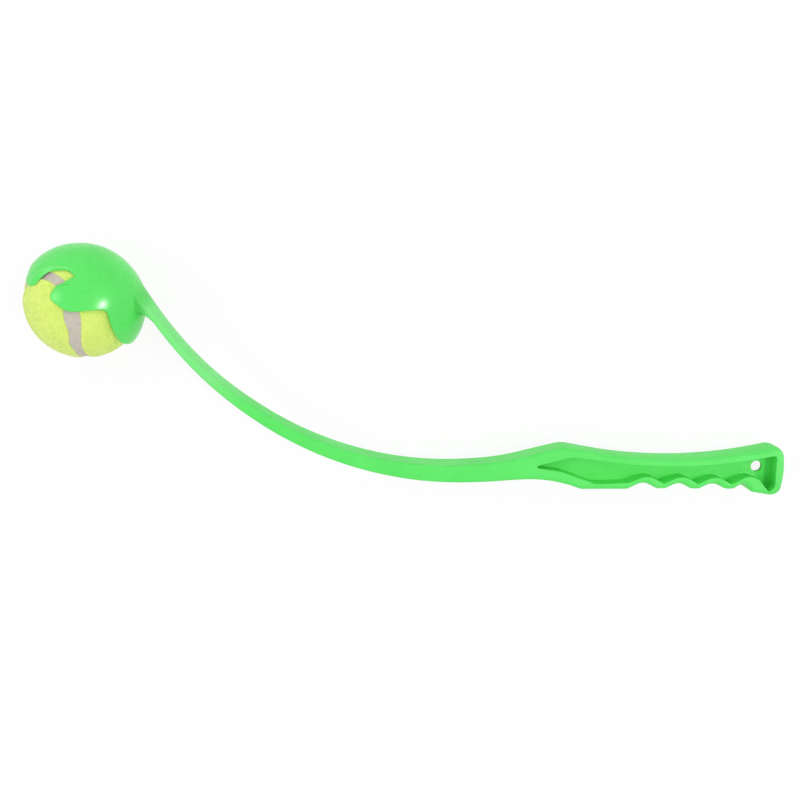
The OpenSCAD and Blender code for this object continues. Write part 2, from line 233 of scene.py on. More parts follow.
plasticLook = {
    "colours": [(0.092, 0.745, 0.113), (0.101, 0.775, 0.123), (0.112, 0.80, 0.135)],
    "cloud": (45, 4), "grain": (2600, 2), "ripple": (260, 2),
    "rippleBump": (0.004, 0.0002), "grainBump": (0.002, 0.00005),
    "cupRough": (0.24, 0.3), "armRough": (0.42, 0.5), "specular": 0.34,
    # a paler colour for the painted sheen and painted highlight, and a darker colour for the painted shade
    "paintedHighlight": (0.19, 0.80, 0.21), "paintedShade": (0.055, 0.60, 0.07),
    # patches on the arm: colour, middle, and the distances from it between which the patch fades;
    # the neck gets a painted sheen, and the root at the cup and the pocket's heel get painted shade
    "patches": [
        # painted sheen: a paler patch on the neck near the cup
        ("paintedHighlight", (-0.136, 0.0135, 0.0349), (0.026, 0.052)),
        # painted shade: the corner between the dome and the arm's root is darkened
        ("paintedShade", (-0.172, 0.034, 0.0349), (0.0195, 0.0222)),
        # painted shade: the web in the pocket's heel corner is darkened
        ("paintedShade", (0.2197, -0.0702, 0.0349), (0.003, 0.015)),
    ],
}


# plastic of the arm, with painted sheen at the neck and painted shade at the root and the pocket's heel, or
# of the cup, with a painted highlight along the claw's outer edge
def makePlastic(name, onArm):
    material, nodes, links, shader, place = newMaterial(name)
    cloud = addNoise(nodes, links, place, *plasticLook["cloud"])
    grain = addNoise(nodes, links, place, *plasticLook["grain"])
    ripple = addNoise(nodes, links, place, *plasticLook["ripple"])
    colour = addRamp(nodes, links, cloud, plasticLook["colours"])
    if onArm:
        # patches of painted sheen at the neck and painted shade at the root and in the pocket's heel
        for tone, middle, fade in plasticLook["patches"]:
            share = addRange(nodes, links, addDistance(nodes, links, place, middle), 1, 0, fade)
            colour = addBlend(nodes, links, "MIX", share, colour, plasticLook[tone])
    else:
        # painted highlight: the claw's outer edge rounding is paler, by a point attribute
        edgeHighlight = nodes.new("ShaderNodeAttribute")
        edgeHighlight.attribute_name = "edgeHighlight"
        colour = addBlend(nodes, links, "MIX", edgeHighlight.outputs["Fac"], colour, plasticLook["paintedHighlight"])
    links.new(colour, shader.inputs["Base Color"])
    rough = plasticLook["armRough" if onArm else "cupRough"]
    links.new(addRange(nodes, links, ripple, *rough), shader.inputs["Roughness"])
    shader.inputs["Specular IOR Level"].default_value = plasticLook["specular"]
    addBumps(nodes, links, shader, [(ripple, plasticLook["rippleBump"]), (grain, plasticLook["grainBump"])])
    return material


feltLook = {
    "colours": [(0.60, 0.81, 0.125), (0.765, 0.93, 0.2), (0.85, 0.97, 0.285)],
    "worn": [(0.92, 0.94, 0.86), (1, 1, 1), (1, 1, 1)],
    "nap": (900, 5, 0.7), "fibre": (3200, 3), "cloud": (130, 4), "spread": (0.2, 0.8),
    "napBump": (0.5, 0.0004), "fibreBump": (0.6, 0.0002),
    "roughness": 0.95, "specular": 0.1, "sheen": 0.25,
}


def makeFelt():
    material, nodes, links, shader, place = newMaterial("napFelt")
    nap = addNoise(nodes, links, place, *feltLook["nap"])
    fibre = addNoise(nodes, links, place, *feltLook["fibre"])
    cloud = addNoise(nodes, links, place, *feltLook["cloud"])
    colour = addRamp(nodes, links, nap, feltLook["colours"], *feltLook["spread"])
    worn = addRamp(nodes, links, cloud, feltLook["worn"])
    links.new(addBlend(nodes, links, "MULTIPLY", 1.0, colour, worn), shader.inputs["Base Color"])
    shader.inputs["Roughness"].default_value = feltLook["roughness"]
    shader.inputs["Specular IOR Level"].default_value = feltLook["specular"]
    shader.inputs["Sheen Weight"].default_value = feltLook["sheen"]
    addBumps(nodes, links, shader, [(nap, feltLook["napBump"]), (fibre, feltLook["fibreBump"])])
    return material


seamLook = {
    "colours": [(0.47, 0.42, 0.36), (0.58, 0.52, 0.45), (0.66, 0.61, 0.54)],
    "dust": (420, 5, 0.7), "pores": (1900, 3), "spread": (0.2, 0.8),
    "dustBump": (0.3, 0.0003), "poreBump": (0.4, 0.00012), "rough": (0.7, 0.9),
}


def makeSeamRubber():
    material, nodes, links, shader, place = newMaterial("dustySeamRubber")
    dust = addNoise(nodes, links, place, *seamLook["dust"])
    pores = addNoise(nodes, links, place, *seamLook["pores"])
    colour = addRamp(nodes, links, dust, seamLook["colours"], *seamLook["spread"])
    links.new(colour, shader.inputs["Base Color"])
    links.new(addRange(nodes, links, pores, *seamLook["rough"]), shader.inputs["Roughness"])
    addBumps(nodes, links, shader, [(dust, seamLook["dustBump"]), (pores, seamLook["poreBump"])])
    return material


coreLook = {
    "colours": [(0.035, 0.034, 0.032), (0.06, 0.058, 0.055)],
    "cloud": (160, 4), "pores": (1400, 3), "poreBump": (0.4, 0.0001), "rough": (0.65, 0.85),
}


def makeCoreRubber():
    material, nodes, links, shader, place = newMaterial("coreRubber")
    cloud = addNoise(nodes, links, place, *coreLook["cloud"])
    pores = addNoise(nodes, links, place, *coreLook["pores"])
    links.new(addRamp(nodes, links, cloud, coreLook["colours"]), shader.inputs["Base Color"])
    links.new(addRange(nodes, links, pores, *coreLook["rough"]), shader.inputs["Roughness"])
    addBumps(nodes, links, shader, [(pores, coreLook["poreBump"])])
    return material


# the arm's plastic carries painted sheen and painted shade, and the cup's plastic a painted highlight on the
# claw's edge
cupPlastic, armPlastic = makePlastic("mouldedGreenPlastic", False), makePlastic("greenPlasticPaintedLight", True)
felt, seamRubber, coreRubber = makeFelt(), makeSeamRubber(), makeCoreRubber()
for node in ("core_half_a", "core_half_b", "core_cement"):
    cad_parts[node].data.materials.clear()
    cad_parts[node].data.materials.append(coreRubber)
print("materials made")

# cup: a shell round the ball whose rim follows claw, bays and lobes;
# it hugs the ball at the claw and flares at the rear
cup = {
    "innerR": 33.2, "outerR": 34.9, "hugCrown": 0.3, "hug": 0.95, "hugInner": 0.4, "flare": 0.7, "kick": 0.5,
    # start and span of each change over the dome, in the direction that its name gives
    "frontHug": (8, 14), "upCrown": (-11, 5), "upRidge": (-2, 4), "downKick": (5, 5),
    "rearFlare": (6, 16), "downLobe": (-14, 16), "rearLobe": (0, 10),
    "alongSteps": 320, "halfSteps": 44, "edgeSteps": 7, "edgeRound": 0.6, "edgeShare": 0.35, "rimSplit": 40,
    # plan of the outer rim edge: way to the front, way to the crown, corner radius, bevel to the inner edge
    "rim": [
        (34.85, 1.83, 0, 0.5), (26, -6.5, 3, 0.4), (24, 0.7, 0.6, 5), (21, 11.4, 14.6, 3),
        (9.5, 18.8, 15, 0.8), (2.5, 18.4, 2.6, 1), (3.1, 12.6, 2.2, 0.5), (8.0, 8.6, 2.4, 0.4),
        (7.8, -0.3, 3.8, 0.4), (-5.2, -0.5, 11, 0.4), (-19.9, 12.05, 3.2, 0.4),
        (-33.7, -3.75, 3.5, 0.5), (-34.6, -3.75, 0, 0.5),
    ],
    "frontEnd": 87, "rearEnd": -96.2,  # ends of the middle line, degrees from the crown
    # rim corners between which the claw's edge gets a painted highlight, and the way over which that fades
    "highlightFrom": [1, 5], "highlightFade": 5,
}


# plan points of the cup lifted onto its dome: height = root of radius squared less plan distance squared
def onDome(plan):
    left = np.maximum(cup["outerR"] ** 2 - (plan ** 2).sum(-1), 0)
    return np.concatenate([plan, np.sqrt(left)[..., None]], -1)


# lines over a unit dome from the rim to the middle line: height follows a cosine, the way along a square
def domeLines(rim, frontEnd, rearEnd):
    middle = np.radians(np.linspace(frontEnd, rearEnd, len(rim)))[:, None]
    j = np.arange(-cup["halfSteps"], cup["halfSteps"] + 1)
    t = np.abs(j) / cup["halfSteps"]
    x = rim[:, :1] + (np.cos(middle) - rim[:, :1]) * np.cos(np.pi / 2 * t)
    y = np.sin(middle) + (rim[:, 1:2] - np.sin(middle)) * t ** 2
    z = np.sign(j) * np.sqrt(np.maximum(1 - x ** 2 - y ** 2, 0))
    return np.stack([x, y, z], -1)


# points on the cup's outer or inner skin in given directions: the claw hugs the ball, most along a ridge,
# and kicks out at its tip, and the rear lobe stands off the ball
def cupSkin(direction, inner):
    up, front = direction[..., :1] * cup["outerR"], direction[..., 1:2] * cup["outerR"]
    ridgeAt, ridgeWide = cup["upRidge"]
    ridge = np.exp(-((up - ridgeAt) / ridgeWide) ** 2)
    hug = easeFrom(front, *cup["frontHug"]) * (
        cup["hugCrown"] * easeFrom(up, *cup["upCrown"]) + cup["hug"] * ridge
        - cup["kick"] * easeFrom(-up, *cup["downKick"]))
    flare = (cup["flare"] * easeFrom(-front, *cup["rearFlare"])
             + cup["kick"] * easeFrom(-up, *cup["downLobe"]) * easeFrom(-front, *cup["rearLobe"]))
    if inner:
        return direction * (cup["innerR"] - cup["hugInner"] * hug + flare)
    return direction * (cup["outerR"] - hug + flare)


# quadratic curve that rounds the corner b between a and c
def cornerCurve(a, b, c, steps):
    t = np.linspace(0, 1, steps)[None, :, None]
    return a[:, None] * (1 - t) ** 2 + b[:, None] * 2 * t * (1 - t) + c[:, None] * t ** 2


def makeCup():
    radius, soft, edgeSteps = cup["outerR"], cup["edgeRound"], cup["edgeSteps"]
    corners = np.array(cup["rim"], float)
    plan, mids = roundCorners(corners[:, [1, 0, 2]])
    mids = np.array(mids) * cup["rimSplit"]
    rim = onDome(splitSteps(plan, cup["rimSplit"]))
    way = wayAlong(rim)
    where = np.linspace(0, 1, cup["alongSteps"] + 1) * way[-1]
    rim = unit(atWay(rim, way, where))
    rim[[0, -1], 2] = 0
    rim = unit(rim)
    forward = np.gradient(rim, axis=0)
    forward[[0, -1], :2] = 0
    outward = unit(np.cross(forward, rim))
    outward *= -np.sign(outward[:, 0].sum())
    bevel = np.interp(where, way[mids], corners[:, 3])[:, None]

    def beside(distance):
        return unit(rim + outward * distance / radius)

    turn = np.degrees(1 / radius)
    frontEnd, rearEnd = cup["frontEnd"], cup["rearEnd"]
    outer = domeLines(beside(-soft), frontEnd - soft * turn, rearEnd + soft * turn)
    reach = bevel[[0, -1], 0] - soft
    inner = domeLines(beside(bevel - soft), frontEnd + reach[0] * turn, rearEnd - reach[1] * turn)
    outEdge, inEdge = cupSkin(rim, False), cupSkin(beside(bevel), True)
    band = inEdge - outEdge
    part = np.minimum(soft / np.linalg.norm(band, axis=1, keepdims=True), cup["edgeShare"])
    near = np.concatenate([
        cornerCurve(cupSkin(beside(-soft), False), outEdge, outEdge + band * part, edgeSteps)[:, 1:],
        cornerCurve(inEdge - band * part, inEdge, cupSkin(beside(bevel - soft), True), edgeSteps)[:, :-1],
    ], 1)
    far = near[:, ::-1] * layout["mirror"]
    loop = np.concatenate([cupSkin(outer, False), near, cupSkin(inner, True)[:, ::-1], far], 1)
    # painted highlight on the rounding of the claw's outer edge, fading out at the claw's two ends
    highlightProfile = np.r_[np.sin(np.pi * np.linspace(0, 1, edgeSteps)[1:]), np.zeros(edgeSteps - 1)]
    across = np.r_[np.zeros(outer.shape[1]), highlightProfile, np.zeros(inner.shape[1]), highlightProfile[::-1]]
    clawFrom, clawTo = way[mids[cup["highlightFrom"]]]
    onClaw = easeFrom(where, clawFrom, cup["highlightFade"]) * ease((clawTo - where) / cup["highlightFade"])
    edgeHighlight = onClaw[:, None] * across
    crown = np.radians(layout["crown"])
    axes = np.array([[np.cos(crown), np.sin(crown), 0], [-np.sin(crown), np.cos(crown), 0], [0, 0, 1]])
    points = layout["ballAt"] + loop.reshape(-1, 3) @ axes
    makePiece("clawedCup", points, gridFaces(*loop.shape[:2]), "thrower", cupPlastic,
              ["ball_cup"], edgeHighlight.ravel())


makeCup()

# arm and grip: one skin of loops from the dome to the butt, drawn in plan with the arm joint at 0, 0
arm = {
    "radius": 214, "sweep": 68.8, "rise": 8, "taper": 1.25,
    "thickCup": 3.8, "thickGrip": 11.7, "wideCup": 14, "wideGrip": 20,
    "edge": 1.5, "steps": 130, "bridgeSteps": 26, "smoothJoint": 9, "smoothRounds": 60, "smoothShare": 0.5,
    # root: distance at which the flare to the dome starts, and where on the dome its sides land, in degrees
    "rootFrom": 22, "rootSteps": 40, "capSteps": 4, "topLanding": 33, "sideLanding": 31, "lowLanding": -8,
    "rootHalf": 11, "rootSquare": 0.8,
    "rootDeep": 0.72,  # share of the thickness at which a column lands as low as the underside
    "rootUnder": 0.15, "rootSink": 0.5,  # depth under the dome, and more of it at the sides and underside
    "leaveSkin": 1.1, "leaveSquare": 1.2, "leaveArm": 0.9,  # pulls on the flare's cubic
    # height by which the arm's middle line is raised, at distances along it
    "liftAt": [0, 120, 237, 257], "lift": [0, 0.2, 0.85, 0.45],
    # thickness added above and below the middle line
    "extraAt": [22, 60, 100, 150, 200, 257],
    "extraTop": [1.2, 0.9, 1.0, 0.5, 0.2, 0], "extraLow": [0.1, 0, -0.35, -0.15, 0, 0],
    # depth of the edges' rounding on the upper and lower side, at distances from the root on into the grip
    "deepAt": [22, 60, 100, 150, 282, 317],
    "topDeep": [6, 5, 3.5, 3, 3, 8], "lowDeep": [4, 3, 2, 1.5, 2, 3.2],
}
armLength = arm["radius"] * np.radians(arm["sweep"])
grip = {
    "end": 168.3, "middle": -0.4, "endRound": 60, "endDeep": 4, "endFrom": (0.9, 0.1), "lift": 0.45,
    "edge": 2.7, "edgeFrom": (-40, 60), "edgeRoom": 0.88, "pocketEdge": 0.5, "tipClear": 1.1,
    # web between the pockets, with its fillet, which is tight in a narrow pocket before a given place
    "webHalf": 1.25, "webCols": 17, "webEdge": 0.3, "webCove": 0.6, "topCove": 0.5, "sharpReach": 3,
    "tightUnder": 14, "tightBefore": 60, "tightFade": 0.05,
    "hole": (154.0, 1.8, 3.3), "holeLip": 0.3, "holeRoom": 1.6,
    # stations, which crowd round the matching corners
    "steps": 420, "fineSteps": 6001, "crowdGain": 3, "crowdWidth": 0.006,
    "upperShare": 0.93, "cornerClear": 10, "tipRoom": 5,
    # outline of the grip: along, up, corner radius
    "top": [(35.5, 15, 16), (108, 2.9, 280), (167.2, 16.3, 6.5)],
    "low": [
        (166.2, -15.8, 6.2), (159.5, -14.72, 0), (148.9, -13.05, 4), (144.4, -7.0, 2.8), (141.3, -9.1, 0),
        (138.2, -11.2, 5.5), (133.4, -11.2, 5.5), (125.4, -7.0, 8), (117.4, -11.1, 5.5), (112.6, -11.1, 5.5),
        (105, -6.9, 7), (97.0, -10.95, 6), (91.8, -11.0, 6), (83.4, -6.4, 8), (74.2, -11.3, 4.5),
        (46, -11.3, 6), (26.5, -4.1, 80),
    ],
    # outline of its pocket
    "topIn": [(16, 2.6, 0.8), (40, 8.7, 8), (108, -0.7, 283), (162.2, 9.75, 1.6)],
    "lowIn": [
        (162.2, -9.6, 4), (159.0, -12.7, 0.8), (152.6, -4.9, 5), (146, -2.7, 6), (138.4, -6.853, 0),
        (136.3, -8.0, 0.8), (126.8, -2.5, 10), (116.1, -7.75, 0.8), (106.6, -2.25, 10), (95.4, -7.55, 0.8),
        (86, -2.25, 10), (74, -7, 3), (54, -7.55, 4), (33, 0, 10),
    ],
    # corners of the outline, counted from the butt, that face the corners of the pocket
    "facing": [
        (0,), (1,), (2,), (3,), (4,), (5, 6), (7,), (8, 9), (10,), (11, 12), (13,), (14,), (15,), (16,),
    ],
    # corners of the pocket's lower side, counted from its tip, with a small web fillet
    "sharpIn": [4, 6, 8, 12],
}
# columns of half a loop: shares of each flat, and steps round each corner
loopSteps = {
    "rim": (0, 0.3, 0.6, 0.9, 0.99), "edge": 12, "flange": (0.02, 0.3, 0.7, 0.98), "lip": 5,
    "wall": (0.03, 0.5, 0.97), "cove": 4, "holeWeb": (0, 0.35, 0.7, 1), "holeLip": 5,
}


# place, direction, thickness and width of the arm at a distance from the cup
def armAt(s):
    slope = np.radians(arm["rise"] - arm["sweep"]) + s / arm["radius"]
    up = np.stack([-np.sin(slope), np.cos(slope)], -1)
    rise = np.radians(arm["rise"])
    place = arm["radius"] * (np.array([-np.sin(rise), np.cos(rise)]) - up)
    place = place + up * np.interp(s, arm["liftAt"], arm["lift"])[..., None]
    share = s / armLength
    thick = arm["thickCup"] + (arm["thickGrip"] - arm["thickCup"]) * share ** arm["taper"]
    wide = arm["wideCup"] + (arm["wideGrip"] - arm["wideCup"]) * (1 - (1 - share) ** 2)
    return place, up, thick, wide


# angles of a quarter turn in steps
def quarter(steps):
    return np.linspace(0, np.pi / 2, steps)


# outline of the grip and of its pocket, each cut at the middle of the butt into an upper and a lower chain,
# with the matching distances along the two lower chains
def gripChains():
    rise = np.array([0, grip["lift"], 0])
    place, up, thick, _ = armAt(np.array(armLength))
    top0, low0 = place + up * thick / 2, place - up * thick / 2
    end = (grip["end"], grip["middle"], grip["endRound"])
    corners = np.array([*grip["top"], end, *grip["low"]], float) + rise
    outline, mids = roundCorners([(*top0, 0), *corners, (*low0, 0)])
    butt = len(grip["top"]) + 1
    upper, lower = outline[:mids[butt] + 1], outline[mids[butt]:][::-1]
    endIn = (grip["topIn"][-1][0], grip["middle"], 0)
    pocket, marks = roundCorners(np.array([*grip["topIn"], endIn, *grip["lowIn"]], float) + rise)
    pocket = np.roll(pocket, -marks[0], 0)
    marks = [(m - marks[0]) % len(pocket) for m in marks]
    pocket = np.vstack([pocket, pocket[:1]])
    buttIn = len(grip["topIn"])
    upperIn, lowerIn = pocket[:marks[buttIn] + 1], pocket[marks[buttIn]:][::-1]
    lowWay, inWay = wayAlong(lower), wayAlong(lowerIn)
    lowMids = mids[butt + 1:]
    outMarks = [np.mean([lowWay[len(outline) - 1 - lowMids[k]] for k in group]) for group in grip["facing"]]
    inMarks = [inWay[len(pocket) - 1 - m] for m in marks[buttIn + 1:]]
    return ((upper, mids[butt - 1]), (upperIn, marks[buttIn - 1]), lower, lowerIn,
            outMarks[::-1], inMarks[::-1])


# stations from 0 to 1 that crowd smoothly round given places
def crowdedStations(places):
    fine = np.linspace(0, 1, grip["fineSteps"])
    crowd = 1 + grip["crowdGain"] * np.exp(-((fine[:, None] - places) / grip["crowdWidth"]) ** 2).sum(1)
    pace = np.r_[0, np.cumsum((crowd[1:] + crowd[:-1]) / 2)]
    return np.interp(np.linspace(0, 1, grip["steps"] + 1), pace / pace[-1], fine)


# the web's fillet on the upper and lower side: wide along the arches and small in the pocket's sharp corners,
# near its tip and at the butt
def webFillets(t, cornerT, toSharp, topIn, lowIn):
    more = grip["webCove"] - grip["webEdge"]
    tight = np.minimum(1, np.linalg.norm(topIn - lowIn, axis=1) / grip["tightUnder"])
    tight = np.where(lowIn[:, 0] < grip["tightBefore"], tight, 1)
    tight = tight * (1 - ease((t - cornerT) / grip["tightFade"] + 1))
    low = grip["webEdge"] + more * (1 - np.exp(-(toSharp / grip["sharpReach"]) ** 2)) * tight
    return grip["webEdge"] + more * grip["topCove"] * tight, low


# columns of half a loop from the middle of the rim to the web: fillet, flange, pocket wall and web fillet
def halfLoop(edge, out, pocketEdge, pocketOut, half, deep, web, cove, pocketed):
    h, d, c, e = half[:, None], deep[:, None], web[:, None], cove[:, None]
    g = pocketed[:, None] * grip["pocketEdge"]
    room = np.linalg.norm(edge[:, None] - pocketEdge[None], axis=-1).min(1)[:, None] - g
    f = arm["edge"] + (grip["edge"] - arm["edge"]) * easeFrom(edge[:, :1], *grip["edgeFrom"])
    f = np.minimum(f, grip["edgeRoom"] * room)
    plan, height = [], []
    for k in loopSteps["rim"]:
        plan.append(edge)
        height.append((h - d) * k)
    for k in quarter(loopSteps["edge"]):
        plan.append(edge - out * f * (1 - np.cos(k)))
        height.append(h - d + d * np.sin(k))
    for k in loopSteps["flange"]:
        plan.append((edge - out * f) * (1 - k) + (pocketEdge + pocketOut * g) * k)
        height.append(h)
    for k in quarter(loopSteps["lip"]):
        plan.append(pocketEdge + pocketOut * g * (1 - np.sin(k)))
        height.append(h - g * (1 - np.cos(k)))
    for k in loopSteps["wall"]:
        plan.append(pocketEdge)
        height.append(h - g - (h - g - c - e) * k)
    for k in quarter(loopSteps["cove"]):
        plan.append(pocketEdge - pocketOut * e * (1 - np.cos(k)))
        height.append(c + e * (1 - np.sin(k)))
    return np.stack(plan, 1), np.concatenate([np.broadcast_to(q, h.shape) for q in height], 1)


# root flare: each column of the arm's first loop runs back on a cubic to its landing on the dome;
# the top leaves the dome along its skin, the underside leaves it squarely
def rootFlare(first, place, up, thick, half):
    ballPlan = (layout["ballAt"] - layout["jointAt"])[:2]
    along = -leftOf(up[None])[0]
    depth = np.clip((0.5 - ((first[:, :2] - place) @ up) / thick) / arm["rootDeep"], 0, 1)
    aside = np.minimum(np.abs(first[:, 2]) / half / arm["rootSquare"], 1)
    topAt = arm["topLanding"] + (arm["sideLanding"] - arm["topLanding"]) * aside ** 2
    angle = np.radians(topAt + (arm["lowLanding"] - topAt) * depth)
    side = np.sign(first[:, 2]) * aside * arm["rootHalf"]
    wallR = cup["outerR"] - arm["rootUnder"]
    landR = wallR - arm["rootSink"] * np.maximum(depth, aside ** 6)
    flat = np.sqrt(landR ** 2 - side ** 2)
    outward = np.stack([np.cos(angle), np.sin(angle)], 1)
    skinWay = np.stack([np.sin(angle), -np.cos(angle)], 1)
    land = np.c_[ballPlan + flat[:, None] * outward, side]
    square = depth[:, None] ** 2
    leave = unit(skinWay * (1 - arm["leaveSkin"] * square) + outward * arm["leaveSquare"] * square)
    span = np.linalg.norm(first - land, axis=1)[:, None]
    q = np.linspace(0, 1, arm["rootSteps"] + 1)[:-1, None, None]
    start, stop = np.c_[leave, np.zeros(len(leave))] * span, np.r_[along, 0] * span * arm["leaveArm"]
    flare = ((2 * q ** 3 - 3 * q ** 2 + 1) * land + (q ** 3 - 2 * q ** 2 + q) * start
             + (3 * q ** 2 - 2 * q ** 3) * first + (q ** 3 - q ** 2) * stop)
    # the end is closed by rings in the cup's wall: directions from the middle of the landing out to it
    ballAt = np.r_[ballPlan, 0]
    k = np.linspace(0, 1, arm["capSteps"] + 1)[:-1, None, None]
    ringWay = unit(unit(land.mean(0) - ballAt) * (1 - k) + unit(land - ballAt) * k)
    cap = ballAt + ringWay * (wallR * (1 - k) + landR[:, None] * k)
    return np.concatenate([cap, flare], 0)


# hang hole: the web's quads in a window give way to rings from the window's edge to the hole and on through
# the web; also gives the window's first and last row and column
def holeRings(loops, webFrom, firstRow):
    hx, hy, hr = grip["hole"]
    web = loops[:, webFrom:webFrom + grip["webCols"]]
    room = hr + grip["holeRoom"]
    inside = (np.abs(web[..., 0] - hx) < room) & (np.abs(web[..., 1] - hy) < room)
    inside[:firstRow] = False
    row, col = np.nonzero(inside)
    i0, i1, j0, j1 = row.min(), row.max(), col.min() + webFrom, col.max() + webFrom
    edge = np.array([(i, j0) for i in range(i0, i1)] + [(i1, j) for j in range(j0, j1)]
                    + [(i, j1) for i in range(i1, i0, -1)] + [(i0, j) for j in range(j1, j0, -1)])
    window = loops[edge[:, 0], edge[:, 1], :2]
    centre, lip, c = np.array([hx, hy]), grip["holeLip"], grip["webHalf"]
    way = unit(window - centre)
    rings = []
    for k in loopSteps["holeWeb"]:
        rings.append(np.c_[window * (1 - k) + (centre + way * (hr + lip)) * k, np.full(len(way), c)])
    for k in quarter(loopSteps["holeLip"])[1:]:
        height = np.full(len(way), c - lip * (1 - np.cos(k)))
        rings.append(np.c_[centre + way * (hr + lip * (1 - np.sin(k))), height])
    rings = np.array(rings)
    return np.concatenate([rings, rings[::-1] * layout["mirror"]], 0), (i0, i1, j0, j1)


# points and faces of the loops with the hang hole cut through both sides of the web
def cutHole(loops, webFrom, firstRow):
    rings, (i0, i1, j0, j1) = holeRings(loops, webFrom, firstRow)
    rows, cols = loops.shape[:2]
    faces = gridFaces(rows, cols)
    row, col = faces[:, 0] // cols, faces[:, 0] % cols
    nearHole, farHole = (col >= j0) & (col < j1), (col >= cols - j1) & (col < cols - j0)
    holed = (row >= i0) & (row < i1) & (nearHole | farHole)
    points = np.vstack([loops.reshape(-1, 3), rings.reshape(-1, 3)])
    return points, np.vstack([faces[~holed], gridFaces(*rings.shape[:2]) + rows * cols])


